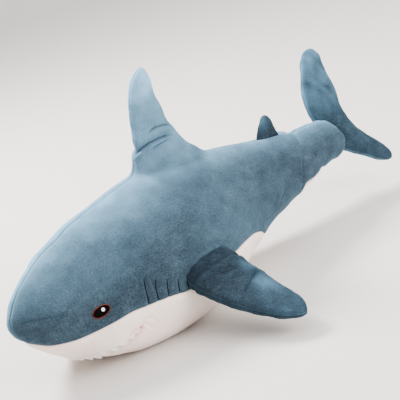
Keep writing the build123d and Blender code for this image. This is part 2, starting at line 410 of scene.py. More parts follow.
def plush_material(name, dark, middle, light, pale, seam, mottle=1.0, sheen=0.3, pink=None):
    """Short pile plush: brushed patches, nap marks and grain, with painted light on lit parts, a painted
    pinkish shade by the mouth and painted shade down in the seams and folds.
    """
    n = Nodes(name)
    patches = n.noise(16.0, 3.0, 0.5, distortion=0.8)
    brushed = n.noise(60.0, 4.0, 0.6, stretch=(0.7, 1.0, 1.0), distortion=0.5)
    tufts = n.noise(330.0, 3.0, 0.65)
    pile = n.noise(620.0, 2.0, 0.7, stretch=(0.75, 1.0, 1.0))
    tone = n.math("MULTIPLY", patches, 0.14)
    for fibre, weight in ((brushed, 0.22), (tufts, 0.36), (pile, 0.28)):
        tone = n.math("ADD", tone, n.math("MULTIPLY", fibre, weight))
    spread = 0.115 / mottle
    pale_dark = tuple(0.72 * c for c in pale)
    base = n.ramp(tone, [(0.5 - spread, dark), (0.5, middle), (0.5 + spread, light)])
    bright = n.ramp(tone, [(0.5 - spread, pale_dark), (0.5 + spread, pale)])
    # Mixed in over the plush's own tones: painted light, then painted pinkish shade by the mouth, then
    # painted shade in seams and folds.
    for name, strength, colour in (("pale", 1.0, bright), ("pink", 1.0, pink), ("seam", 0.85, seam)):
        if colour:
            base = n.mix(n.math("MULTIPLY", n.attribute(name), strength, clamp=True), base, colour)
    normal = None
    for fibre, strength, depth in ((brushed, 0.35, 0.0030), (tufts, 0.65, 0.0020), (pile, 0.75, 0.0010)):
        normal = n.bump(fibre, strength, depth, normal)
    return n.finish(base, normal, Roughness=0.95, Specular_IOR_Level=0.12, Sheen_Weight=sheen,
                    Sheen_Roughness=0.5, Sheen_Tint=pale)


def cloth_material(name, dark, light, scale):
    """Felt, lining or filling: fine fibres in two tones."""
    n = Nodes(name)
    coarse = n.noise(scale * 0.2, 3.0)
    fibres = n.noise(scale, 4.0, 0.7)
    tone = n.math("ADD", n.math("MULTIPLY", coarse, 0.5), n.math("MULTIPLY", fibres, 0.5))
    base = n.ramp(tone, [(0.35, dark), (0.65, light)])
    return n.finish(base, n.bump(fibres, 0.6, 0.0008), Roughness=0.85, Sheen_Weight=0.2,
                    Specular_IOR_Level=0.25)


def thread_material(name, dark, light, shine=0.12):
    """Satin stitch, with a little variation from strand to strand."""
    n = Nodes(name)
    strands = n.noise(900.0, 2.0, 0.6)
    tone = n.noise(160.0, 3.0)
    base = n.ramp(tone, [(0.35, dark), (0.65, light)])
    return n.finish(base, n.bump(strands, 0.35, 0.0004), Roughness=0.6, Specular_IOR_Level=shine)


def make_materials():
    """All materials by name.  Colours are linear RGB: dark, middle and light for the plush's own tones,
    pale for its painted light and seam for its painted shade, dark and light for the rest."""
    # rose is the painted pinkish shade round the mouth; each plush's fourth colour is painted light and its
    # fifth painted shade.
    rose = (0.760, 0.400, 0.350)
    plush = {
        "blue_plush": ((0.009, 0.015, 0.022), (0.021, 0.036, 0.051), (0.045, 0.075, 0.103),
                       (0.220, 0.460, 0.660), (0.005, 0.010, 0.016), {}),
        "deep_blue_plush": ((0.0028, 0.0052, 0.0085), (0.0075, 0.0135, 0.0205), (0.020, 0.036, 0.052),
                            (0.090, 0.210, 0.310), (0.002, 0.005, 0.008), {"mottle": 1.15}),
        "white_plush": ((0.820, 0.660, 0.600), (0.920, 0.775, 0.705), (0.950, 0.840, 0.780),
                        (0.900, 0.840, 0.800), (0.420, 0.290, 0.250),
                        {"mottle": 0.8, "sheen": 0.15, "pink": rose}),
    }
    cloth = {
        "white_felt": ((0.74, 0.67, 0.64), (0.90, 0.84, 0.81), {"scale": 500.0}),
        "pink_lining": ((0.60, 0.27, 0.22), (0.76, 0.40, 0.34), {"scale": 700.0}),
        "fibre_filling": ((0.70, 0.70, 0.69), (0.92, 0.92, 0.91), {"scale": 220.0}),
    }
    thread = {
        "eye_ring_thread": ((0.050, 0.008, 0.004), (0.110, 0.020, 0.009), {}),
        "eye_pupil_thread": ((0.0006, 0.0006, 0.0006), (0.0018, 0.0016, 0.0014), {"shine": 0.02}),
        "eye_glint_thread": ((0.78, 0.78, 0.78), (0.93, 0.93, 0.93), {}),
        "gill_thread": ((0.0010, 0.0022, 0.0026), (0.0024, 0.0045, 0.0050), {"shine": 0.03}),
    }
    made = {}
    for kind, recipes in ((plush_material, plush), (cloth_material, cloth), (thread_material, thread)):
        for name, (*colours, options) in recipes.items():
            made[name] = kind(name, *colours, **options)
    return made


def dress(obj, slot, body, replaced):
    """Gives a piece the material named by slot, its body if it rides on one, and hides the CAD nodes it
    stands for.
    """
    obj.data.materials.clear()
    obj.data.materials.append(MATERIALS[slot])
    if body:
        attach(obj, body)
    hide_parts(*replaced)


# ---------------------------------------------------------------- body with its dorsal fin

BODY_SKINS = ["back_panel_left", "back_panel_right", "belly_panel", "snout_underside_panel",
              "lower_jaw_panel"]
BODY_CORES = ["body_stuffing", "lower_jaw_stuffing", "mouth_roof_lining", "mouth_floor_lining"]
STATIONS = 120                  # rings along the body
AROUND = 120                    # points round each ring
MOUTH_GAPS = ((17, 30.5), (65, 79.5))    # in the CAD body: the open mouth, and behind the lower jaw

# Edge between blue and white: distance back, height.  It dips out of sight ahead of the tail,
# where the white panel narrows, and comes up again for a short way.
COLOUR_SEAM = [(-0.020, 0.121), (0.026, 0.098), (0.077, 0.092), (0.109, 0.0955), (0.143, 0.100),
               (0.181, 0.1035), (0.210, 0.1015), (0.248, 0.098), (0.287, 0.0915), (0.330, 0.092),
               (0.386, 0.096), (0.430, 0.098), (0.480, 0.0975), (0.511, 0.093), (0.541, 0.079),
               (0.560, 0.060), (0.600, 0.057), (0.640, 0.063), (0.680, 0.073), (0.696, 0.080),
               (0.703, 0.093), (0.710, 0.1000), (0.740, 0.1035), (0.760, 0.1085), (0.778, 0.1115),
               (0.786, 0.1110), (0.800, 0.1040), (0.820, 0.1040), (0.840, 0.1080), (0.870, 0.118),
               (0.900, 0.130)]
LIP_ANGLE = 18.0                # below horizontal, seen from the mouth's corners
LIP_NORMAL = Vector((math.sin(math.radians(LIP_ANGLE)), 0, math.cos(math.radians(LIP_ANGLE))))

# Dorsal fin: height, leading edge, trailing edge, half thickness; it flares into the back.
DORSAL = [
    (0.250, 0.312, 0.530, 0.040),
    (0.272, 0.322, 0.503, 0.034),
    (0.290, 0.331, 0.485, 0.028),
    (0.309, 0.340, 0.469, 0.0235),
    (0.327, 0.349, 0.458, 0.0208),
    (0.348, 0.355, 0.448, 0.0190),
    (0.366, 0.3595, 0.441, 0.0178),
    (0.385, 0.3615, 0.437, 0.0168),
    (0.403, 0.366, 0.433, 0.0155),
    (0.4205, 0.372, 0.432, 0.0142),
    (0.436, 0.380, 0.434, 0.0132),
    (0.451, 0.3895, 0.434, 0.0125),
    (0.465, 0.3965, 0.435, 0.0120),
    (0.4715, 0.400, 0.436, 0.0118),
]
DORSAL_CAP = (0.440, DORSAL[-1][0])


def seam_height(x):
    """Height of the blue and white panels' seam at each X."""
    rows = np.array(COLOUR_SEAM)
    back = NOSE_X - np.asarray(x)
    share = (np.clip(back, rows[0, 0], rows[-1, 0]) - rows[0, 0]) / (rows[-1, 0] - rows[0, 0])
    return spline(rows, share.ravel())[:, 1].reshape(np.shape(share))


def mouth_angle(points):
    """Degrees below horizontal at which a point lies, seen from the line through the mouth's corners."""
    return np.degrees(np.arctan2(MOUTH.z - points[..., 2], points[..., 0] - MOUTH.x))


def body_rings():
    """Rings round the CAD body's outside, with the mouth's gaps bridged."""
    tree = tree_of([frame["nodes"][name] for name in BODY_SKINS + BODY_CORES])
    low = min(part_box(name)[0].x for name in BODY_SKINS)
    margin = 0.0012
    far = 0.5
    share = (1 - np.cos(np.linspace(0, math.pi, STATIONS))) / 2
    xs = NOSE_X - margin - share * (NOSE_X - low - 2 * margin)
    angles = np.linspace(0, 2 * math.pi, AROUND, endpoint=False)
    reach = np.full((STATIONS, AROUND), np.nan)
    centres = np.empty(STATIONS)
    for i, x in enumerate(xs):
        top, bottom = (tree.ray_cast(Vector((x, 0.001, end)), Vector((0, 0, -end)))[0] for end in (1, -1))
        centres[i] = 0.55 * bottom.z + 0.45 * top.z
    kernel = np.array([1, 2, 3, 2, 1]) / 9.0
    centres = np.convolve(np.pad(centres, 2, mode="edge"), kernel, mode="valid")
    for i, x in enumerate(xs):
        for j, angle in enumerate(angles):
            out = Vector((0, math.cos(angle), math.sin(angle)))
            outside = Vector((x, 0, centres[i])) + out * far
            hit = tree.ray_cast(outside, -out)[0]
            if hit is None:
                continue
            turn = mouth_angle(np.array(hit))
            in_gap = any(start < turn < end for start, end in MOUTH_GAPS)
            if not (in_gap and hit.x > MOUTH.x and hit.z < MOUTH.z):
                reach[i, j] = far - (hit - outside).length
    for j in range(AROUND):
        known = ~np.isnan(reach[:, j])
        reach[:, j] = np.interp(-xs, -xs[known], reach[known, j])
    for _ in range(2):
        padded = np.pad(reach, ((0, 0), (1, 1)), mode="wrap")
        reach = 0.25 * padded[:, :-2] + 0.5 * reach + 0.25 * padded[:, 2:]
        inner = 0.25 * reach[:-2] + 0.5 * reach[1:-1] + 0.25 * reach[2:]
        reach[1:-1] = inner
    rings = []
    for i, x in enumerate(xs):
        rings.append(np.stack([np.full(AROUND, x), reach[i] * np.cos(angles),
                               centres[i] + reach[i] * np.sin(angles)], axis=1))
    return rings


def rounded(rows, shares, *caps):
    """Rows of (out, lead, trail, half thickness) at the given shares, with round ends.

    Each cap is (where it starts, where the tip is)."""
    shaped = spline(rows, shares)
    for start, tip in caps:
        part = np.clip((shaped[:, 0] - start) / (tip - start), 0, 1)
        shrink = np.sqrt(1 - part**2)
        middle = (shaped[:, 1] + shaped[:, 2]) / 2
        half = (shaped[:, 2] - shaped[:, 1]) / 2 * shrink
        shaped[:, 1] = middle - half
        shaped[:, 2] = middle + half
        shaped[:, 3] *= shrink
    return shaped


def body_form():
    """One closed surface of the body with its dorsal fin grown out of the back."""
    body = tube_mesh("form", body_rings())
    angles = np.linspace(0, 2 * math.pi, 48, endpoint=False)
    rings = []
    for height, lead, trail, thick in rounded(DORSAL, 1 - (1 - np.linspace(0, 0.99, 60)) ** 1.5,
                                              DORSAL_CAP):
        along = (lead + trail) / 2 - (trail - lead) / 2 * np.cos(angles)
        rings.append(np.stack([NOSE_X - along, thick * np.sin(angles), height + 0 * angles], axis=1))
    fin = tube_mesh("fin_form", rings)
    work = bmesh.new()
    work.from_mesh(body.data)
    work.from_mesh(fin.data)
    work.to_mesh(body.data)
    work.free()
    bpy.data.objects.remove(fin)
    voxel_remesh(body, BODY_VOXEL)
    # The corner between fin and back is smoothed most, so that the fin flares out of the back.
    points = coordinates(body)
    near_root = (smoothstep(0.245, 0.275, points[:, 2]) * smoothstep(0.345, 0.315, points[:, 2])
                 * smoothstep(0.085, 0.05, abs(points[:, 1]))
                 * smoothstep(0.22, 0.19, abs(points[:, 0] - (NOSE_X - 0.415))))
    relax(body, 14, near_root)
    relax(body, 5, 0.8)
    body.modifiers.new("finer", "SUBSURF").levels = 1
    apply_modifiers(body)
    return body


def above_lip(points):
    """Height of points over the plane of the upper lip, which runs through the mouth's corners."""
    return (points - np.array(MOUTH)) @ np.array(LIP_NORMAL)


def mouth_gap(back):
    """Opening between the lips: a slit that widens just inside each corner."""
    return smoothstep(0.189, 0.181, back) * (0.0010 + 0.0034 * bell(back - 0.177, 0.009))


def face_centres(work):
    return np.array([face.calc_center_median() for face in work.faces])


def cut(work, chosen, place, normal, shift=None):
    """Splits the chosen faces along a plane.  shift gives the height over that plane at each X at
    which the split really runs."""
    def raise_all(sign):
        if shift:
            heights = shift(np.array([v.co.x for v in work.verts]))
            for vert, height in zip(work.verts, heights):
                vert.co.z += sign * height

    raise_all(-1)
    geometry = {}
    for face, wanted in zip(work.faces[:], chosen):
        if wanted:
            geometry.update(dict.fromkeys([face, *face.edges, *face.verts]))
    bmesh.ops.bisect_plane(work, geom=list(geometry), plane_co=place, plane_no=normal, dist=1e-5)
    raise_all(1)


def refine(work):
    """Halves the faces along the seams, the lips and the folds, so that these can be sharp."""
    middles = face_centres(work)
    x, y, z = middles.T
    near = (np.abs(y) < 0.005) & (z > seam_height(x))
    near |= np.abs(z - seam_height(x)) < 0.0055
    near |= (np.abs(above_lip(middles)) < 0.006) & (x > MOUTH.x - 0.004) & (z < seam_height(x))
    flat = np.stack([NOSE_X - x, z], axis=1)
    for side, *_, path in FOLDS:
        near |= (path_distance(flat, path)[0] < 0.006) & (np.sign(y) == side)
    near |= path_distance(flat, STALK_RIM)[0] < 0.005
    edges = dict.fromkeys(edge for face, wanted in zip(work.faces[:], near) if wanted
                          for edge in face.edges)
    bmesh.ops.subdivide_edges(work, edges=list(edges), cuts=1, use_grid_fill=True)


LEFT, RIGHT, SNOUT, BELLY, OPENING = range(5)


def cut_panels(body):
    """Splits the surface along every seam and gives each face's panel, or OPENING between the lips."""
    work = bmesh.new()
    work.from_mesh(body.data)
    refine(work)
    cut(work, [True] * len(work.faces), (0, 0, 0), (0, 1, 0))
    cut(work, [True] * len(work.faces), (0, 0, 0), (0, 0, 1), seam_height)

    def white(lowest_x):
        middles = face_centres(work)
        return (middles[:, 2] < seam_height(middles[:, 0])) & (middles[:, 0] > lowest_x)

    cut(work, white(MOUTH.x - 0.12), MOUTH, LIP_NORMAL)
    cut(work, white(MOUTH.x), MOUTH, LIP_NORMAL, lambda x: -mouth_gap(NOSE_X - x) / LIP_NORMAL.z)
    bmesh.ops.dissolve_degenerate(work, dist=3e-5, edges=work.edges[:])
    middles = face_centres(work)
    work.to_mesh(body.data)
    work.free()
    x, y, z = middles.T
    over = above_lip(middles)
    opened = (x > MOUTH.x) & (over > -mouth_gap(NOSE_X - x))
    return np.where(z > seam_height(x), np.where(y > 0, LEFT, RIGHT),
                    np.where(over > 0, SNOUT, np.where(opened, OPENING, BELLY)))


def panel_from(body, kinds, kind, name, tuck):
    """One panel as its own object.  Its sewn edges turn in under it by tuck."""
    work = bmesh.new()
    work.from_mesh(body.data)
    bmesh.ops.delete(work, geom=[f for f, k in zip(work.faces[:], kinds) if k != kind], context="FACES")
    seam = work.verts.layers.float["seam"]

    def sewn(edge):
        """Whether an edge is at a seam; behind the mouth the two white panels meet flush."""
        flush = all(v.co.x < MOUTH.x - 0.0005 and abs(above_lip(np.array(v.co))) < 0.0022
                    and v.co.z < float(seam_height(v.co.x)) - 0.0006 for v in edge.verts)
        return edge.is_boundary and not flush

    rim = [edge for edge in work.edges if sewn(edge)]
    turned = {}
    for vert in dict.fromkeys(v for edge in rim for v in edge.verts):
        inside = Vector((0, 0, 0))
        for face in vert.link_faces:
            inside += face.calc_center_median() - vert.co
        down = body_normal(vert.co)
        place = vert.co - down * tuck + inside.normalized() * (0.25 * tuck)
        turned[vert] = work.verts.new(place)
        # The turned-in edge gets full painted seam shade.
        turned[vert][seam] = 1.0
    for edge in rim:
        loop = edge.link_loops[0]
        a, b = loop.vert, loop.link_loop_next.vert
        work.faces.new((b, a, turned[a], turned[b]))
    obj = new_object(name, [], [])
    work.to_mesh(obj.data)
    work.free()
    shade_smooth(obj)
    return obj


def path_distance(points, path):
    """Distance to a polyline in the side view, share of its length there, and 1 on its left, -1 right."""
    path = np.asarray(path, float)
    steps = np.diff(path, axis=0)
    lengths = np.linalg.norm(steps, axis=1)
    before = np.concatenate([[0], np.cumsum(lengths)[:-1]])
    best = np.full(len(points), 1e9)
    share = np.zeros(len(points))
    hand = np.ones(len(points))
    for start, step, length, past in zip(path[:-1], steps, lengths, before):
        away = points - start
        t = np.clip((away @ step) / length**2, 0, 1)
        gap = np.linalg.norm(away - t[:, None] * step, axis=1)
        closer = gap < best
        best[closer] = gap[closer]
        share[closer] = (past + t[closer] * length) / lengths.sum()
        hand[closer] = np.sign(step[0] * away[closer, 1] - step[1] * away[closer, 0])
    return best, share, hand


def fading_ends(share):
    """1 along the middle of a fold, fading to nothing at its ends."""
    return np.clip(np.sin(math.pi * np.clip(share, 0.03, 0.97)) * 1.7, 0, 1)


# Folds in the sides: side, width, depth, raised lip on the right of the path, and the path's points
# as (distance back, height).
SNOUT_DART = [(0.006, 0.150), (0.026, 0.151), (0.053, 0.148), (0.078, 0.144)]
DORSAL_CREASE = [(0.336, 0.314), (0.346, 0.321), (0.360, 0.3285), (0.378, 0.3325), (0.402, 0.3335),
                 (0.424, 0.331), (0.438, 0.326)]
DORSAL_SMALL_CREASE = [(0.377, 0.3205), (0.390, 0.3235), (0.405, 0.325), (0.424, 0.324)]
DORSAL_UPPER_CREASE = [(0.380, 0.350), (0.392, 0.354), (0.404, 0.355), (0.420, 0.353), (0.446, 0.345)]
CHEEK_PUCKER = [(0.100, 0.139), (0.0965, 0.129), (0.098, 0.118), (0.101, 0.106)]
GILL_PUCKER = [(0.2245, 0.153), (0.2275, 0.142), (0.227, 0.127), (0.224, 0.114)]
REAR_CREASE = [(0.722, 0.165), (0.714, 0.148), (0.709, 0.134), (0.703, 0.120), (0.696, 0.107)]
FOLDS = [
    (1, 0.0030, 0.0085, 0.0052, DORSAL_CREASE),
    (1, 0.0020, 0.0042, 0.0018, DORSAL_SMALL_CREASE),
    (1, 0.0040, 0.0048, 0.0022, DORSAL_UPPER_CREASE),
    (1, 0.0035, 0.0042, 0.0022, REAR_CREASE),
    (1, 0.0050, 0.0022, 0.0012, [(0.636, 0.125), (0.620, 0.113), (0.606, 0.103)]),
    (1, 0.0045, 0.0016, 0.0008, [(0.741, 0.147), (0.756, 0.145), (0.768, 0.158)]),
    (1, 0.0030, 0.0014, 0.0010, [(0.378, 0.143), (0.392, 0.131), (0.402, 0.122)]),
    (1, 0.0030, 0.0012, 0.0008, [(0.399, 0.285), (0.407, 0.283), (0.417, 0.281)]),
    (-1, 0.0035, 0.0085, 0.0040, DORSAL_CREASE),
    (-1, 0.0040, 0.0040, 0.0020, DORSAL_UPPER_CREASE),
    (-1, 0.0040, 0.0036, 0.0018, REAR_CREASE),
]
for side in SIDES.values():
    FOLDS += [
        (side, 0.0016, 0.0022, 0.0007, SNOUT_DART),
        (side, 0.0026, 0.0018, 0.0008, CHEEK_PUCKER),
        (side, 0.0026, 0.0022, 0.0012, GILL_PUCKER),
        (side, 0.0022, 0.0016, 0.0010, [(0.186, 0.080), (0.196, 0.068), (0.204, 0.054)]),
        (side, 0.0022, 0.0013, 0.0008, [(0.194, 0.085), (0.206, 0.076), (0.217, 0.064)]),
    ]
# Edge of the cloth at the end of the body, where the tail fin comes out.
STALK_RIM = [(0.775, 0.216), (0.822, 0.208), (0.846, 0.192), (0.862, 0.174), (0.872, 0.152),
             (0.866, 0.130), (0.846, 0.116)]


def gill_line(side_name, number):
    """Ends of one gill line in the side view, as (distance back, height)."""
    low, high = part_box(f"gill_stitch_{side_name}_{number}")
    return [(NOSE_X - low.x, high.z), (NOSE_X - high.x, low.z)]


def shape_body(points, directions):
    """Stuffed cloth on the plain form: lumps, seams pulled in, puckers and folds.

    Returns how far each point moves out and how much painted shade darkens its seam or fold."""
    x, y, z = points.T
    back = NOSE_X - x
    height = seam_height(x)
    lumps = 0.0015 * waves(points, 0.10, 3) + 0.0007 * waves(points, 0.045, 4)
    offset = lumps * smoothstep(0.0, 0.03, z)

    # Seams: along the top of the back, between blue and white, and under the upper lip.
    on_top = smoothstep(height - 0.01, height + 0.02, z)
    thread = np.stack([0 * back, back, 0.5 * z], axis=1)
    pucker = 0.5 + 0.5 * waves(thread, 0.020, 9)
    side_gap = np.abs(z - height) * np.sqrt(np.clip(1 - directions[:, 2]**2, 0.15, 1))**-1
    lip_gap = np.where((x > MOUTH.x) & (z < height), np.abs(above_lip(points)), 1.0)
    under_lip = smoothstep(0.0006, -0.0006, above_lip(points))
    dark = np.zeros(len(points))
    calmer = 1 - 0.5 * smoothstep(0.28, 0.33, z)
    for gap, strength, width, depth in ((np.abs(y), on_top * calmer, 0.0032, 0.0030),
                                        (side_gap, 1.0, 0.0030, 0.0024),
                                        (lip_gap, 0.8 * under_lip, 0.0024, 0.0016)):
        offset -= depth * np.exp(-gap / width) * strength
        offset += 0.0010 * bell(gap - 0.010, 0.007) * strength
        offset -= 0.0009 * pucker * bell(gap - 0.004, 0.008) * strength
        # Painted shade down in the seam, patchy along it.
        patchy = 0.55 + 0.45 * pucker
        dark = np.maximum(dark, bell(gap, 0.0013) * strength * patchy)

    # The upper lip stands out a little over the lower one.
    offset += 0.0022 * bell(lip_gap, 0.009) * (above_lip(points) > -0.0004)

    flat = np.stack([back, z], axis=1)
    for side, width, depth, lip, path in FOLDS:
        gap, share, hand = path_distance(flat, path)
        here = (np.sign(y) == side) * fading_ends(share) * (gap < 7 * width)
        below = hand < 0
        offset -= depth * np.exp(-gap / np.where(below, 0.8, 1.5) / width) * here
        offset += lip * bell(gap - 2.0 * width, 1.3 * width) * here * below
        # Painted shade in the fold.
        dark = np.maximum(dark, bell(gap, 0.5 * width) * here * min(0.8, depth / 0.006))

    # The cloth is drawn in under each gill line.
    for side_name, side in SIDES.items():
        for number in GILLS:
            gap = path_distance(flat, gill_line(side_name, number))[0]
            here = (np.sign(y) == side) * (gap < 0.02)
            offset += here * (0.0008 * bell(gap - 0.007, 0.005) - 0.0016 * bell(gap, 0.0035))

    # The cloth ends in a crisp edge round the tail fin's root and drops away behind it.
    gap, _, hand = path_distance(flat, STALK_RIM)
    behind = (back > 0.76) * (hand > 0) * smoothstep(0.122, 0.140, z)
    before = (back > 0.74) * (hand <= 0)
    offset -= 0.0060 * behind * smoothstep(0.0, 0.0035, gap)
    offset += before * (0.0034 * bell(gap - 0.003, 0.010)
                        - 0.0060 * bell(gap - 0.034, 0.018) * smoothstep(0.14, 0.20, z))
    # Painted shade just behind the rim.
    dark = np.maximum(dark, 0.7 * behind * bell(gap - 0.003, 0.003))

    # The back swells up on both sides of the second dorsal fin's root.
    beside = smoothstep(0.640, 0.700, back) * smoothstep(0.752, 0.726, back) * (z > 0.18)
    offset += 0.0085 * beside * bell(np.abs(y) - 0.018, 0.010)
    return offset, np.clip(dark, 0, 1)


def pink_mouth_shade(points):
    """Painted pinkish shade round the mouth's corners and a painted shadow under the teeth, both tinted like
    the lining.
    """
    back = NOSE_X - points[:, 0]
    gap = np.abs(above_lip(points) + 0.004)
    corner = bell(gap, 0.008) * smoothstep(0.196, 0.182, back) * smoothstep(0.150, 0.172, back)
    along = bell(gap, 0.011) * smoothstep(0.188, 0.170, back) * (above_lip(points) < 0)
    return np.clip(0.85 * corner + 0.45 * along, 0, 1)


def painted_light(points, directions):
    """Painted light that lightens the blue: on top, most on the far side where the light comes from, along
    the brow, the flank and the dorsal fin, and along the fin's leading edge.
    """
    x, y, z = points.T
    back = NOSE_X - x
    upward = directions @ np.array([0.05, -0.42, 0.906])
    top = smoothstep(-0.05, 0.95, upward) * 0.50
    brow = smoothstep(0.27, 0.14, back) * smoothstep(0.13, 0.18, z) * smoothstep(0.45, 0.15, upward) * 0.08
    flank = bell(back - 0.44, 0.10) * smoothstep(0.20, 0.02, upward) * 0.07
    far = smoothstep(0.002, -0.004, y) * smoothstep(0.40, 0.12, back) * 0.22
    fin = smoothstep(0.245, 0.310, z) * 0.32 + smoothstep(0.36, 0.468, z) ** 1.5 * 0.60
    lead = smoothstep(0.030, 0.0, back - 0.345 - 0.15 * (z - 0.33)) * smoothstep(0.30, 0.37, z) * 0.14
    wisps = 1 + 0.16 * waves(points, 0.09, 21) + 0.12 * waves(points, 0.03, 22)
    return np.clip((top + brow + flank + fin + lead + far) * wisps, 0, 1)


def body_normal(place):
    """Outward direction of the finished body surface round a point."""
    found = SURFACE["kd"].find_range(place, 0.005) or SURFACE["kd"].find_n(place, 12)
    total = SURFACE["normals"][[index for _, index, _ in found]].sum(axis=0)
    return Vector(total).normalized()


SURFACE = {}


def make_body():
    body = body_form()
    kinds = cut_panels(body)
    points, directions = coordinates(body), normals(body)
    offset, seam = shape_body(points, directions)
    points = points + directions * offset[:, None]
    points[:, 2] = np.maximum(points[:, 2], 0.0)
    set_coordinates(body, points)
    pale = painted_light(points, directions)
    kd = KDTree(len(points))
    for i, p in enumerate(points):
        kd.insert(p, i)
    kd.balance()
    SURFACE.update(kd=kd, normals=normals(body), tree=tree_of([body]))
    # Point attributes: painted shade in seams and folds, painted light, and painted pinkish shade by the
    # mouth.
    write_attribute(body, "seam", seam)
    write_attribute(body, "pale", pale)
    write_attribute(body, "pink", pink_mouth_shade(points))

    plans = [
        (LEFT, "back_cover_left", "blue_plush", ["back_panel_left", "dorsal_fin_left_panel"],
         "dorsal_fin"),
        (RIGHT, "back_cover_right", "blue_plush", ["back_panel_right", "dorsal_fin_right_panel"],
         "dorsal_fin"),
        (SNOUT, "snout_underside_cover", "white_plush", ["snout_underside_panel"], None),
        (BELLY, "belly_cover", "white_plush", ["belly_panel", "lower_jaw_panel"], "lower_jaw"),
    ]
    for kind, name, slot, replaced, partner in plans:
        obj = panel_from(body, kinds, kind, name, 0.006)
        dress(obj, slot, None if partner else "body", replaced)
        if partner == "dorsal_fin":
            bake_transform(obj, "body", partner, start=(0, 0, 0.290), end=(0, 0, 0.350))
        elif partner:
            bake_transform(obj, "body", partner, start=(MOUTH.x - 0.004, 0, 0), end=(MOUTH.x + 0.034, 0, 0))
    bpy.data.objects.remove(body)


# ---------------------------------------------------------------- fins

def fin_panels(node, names, shaped, place, around, detail, seed, start=None, end=None,
               seam_shade=0.9, seam_highlight=0.0):
    """Two sewn cloth panels over a fin, one on each side of its seam.

    shaped holds rows of (distance out, lead, trail, half thickness); place turns (out, along, across)
    into points.  The seam follows the leading edge, the tip and the trailing edge.  detail gives
    extra height, painted shade and painted light from the same three numbers and the side."""
    covers = []
    angles = np.linspace(0, math.pi, around)
    blunt = (1 - np.abs(np.cos(angles)) ** 3) ** 0.5
    for side, name in zip((1, -1), names):
        out = np.repeat(shaped[:, 0], around)
        lead, trail, thick = (np.repeat(shaped[:, i], around) for i in (1, 2, 3))
        along = (lead + trail) / 2 - (trail - lead) / 2 * np.tile(np.cos(angles), len(shaped))
        across = side * thick * np.tile(blunt, len(shaped))
        ends = [row[0] for row in (shaped[0], shaped[-1]) if row[3] < 1e-4]
        beyond = np.min([np.abs(out - tip) for tip in ends], axis=0)
        edge = np.hypot(np.minimum(along - lead, trail - along), across)
        edge = np.minimum(edge, np.hypot(beyond, across))
        points = np.array([place(*p) for p in zip(out, along, across)])
        obj = new_object(f"{node}_{name}_cover", points, grid_faces(len(shaped), around, False))
        directions = normals(obj)
        outward = np.array(place(0, 0, side)) - np.array(place(0, 0, 0))
        if (directions @ outward).sum() < 0:
            obj.data.flip_normals()
            directions = -directions
        offset = 0.0011 * waves(points, 0.05, seed) + 0.0006 * waves(points, 0.022, seed + 1)
        offset *= smoothstep(0.0, 0.012, edge)
        pucker = 0.5 + 0.5 * waves(points, 0.014, seed + 2)
        offset -= 0.0016 * np.exp(-edge / 0.0025) + 0.0008 * pucker * bell(edge - 0.005, 0.005)
        offset += 0.0010 * bell(edge - 0.009, 0.005)
        # Painted shade down in the seam and a painted highlight along its ridge.
        dark = seam_shade * bell(edge, 0.0016)
        pale = seam_highlight * bell(edge - 0.002, 0.0028)
        # detail adds painted shade in folds and painted light on lit parts.
        rise, shade, lit_share = detail(out, along, across, side)
        offset = offset + rise
        dark = np.maximum(dark, shade)
        pale = (pale + lit_share) * (1 + 0.3 * waves(points, 0.03, seed + 3))
        set_coordinates(obj, points + directions * offset[:, None])
        write_attribute(obj, "seam", np.clip(dark, 0, 1))
        write_attribute(obj, "pale", np.clip(pale, 0, 1))
        dress(obj, "deep_blue_plush", None if start else node, [f"{node}_{name}_panel"])
        if start:
            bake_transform(obj, "body", node, start=start, end=end)
        covers.append(obj)
    return covers


def crease(out, along, path, width, depth):
    """Height of one soft fold in a fin, along a path of (out, along), and the painted shade in it."""
    gap, share, _ = path_distance(np.stack([out, along], axis=1), path)
    ends = fading_ends(share)
    rise = (-depth * np.exp(-gap / width) + 0.4 * depth * bell(gap - 2.4 * width, 1.5 * width)) * ends
    return rise, 0.7 * bell(gap, 0.8 * width) * ends


def from_hinge(joint, out_dir, across_dir):
    """Place of (distance out, back from the nose, across) for a fin whose length runs from its hinge."""
    hinge = Vector(joint["pos_m"])

    def place(out, along, across):
        point = hinge + out_dir * out + across_dir * across
        return (NOSE_X - along, point.y, point.z)

    return place


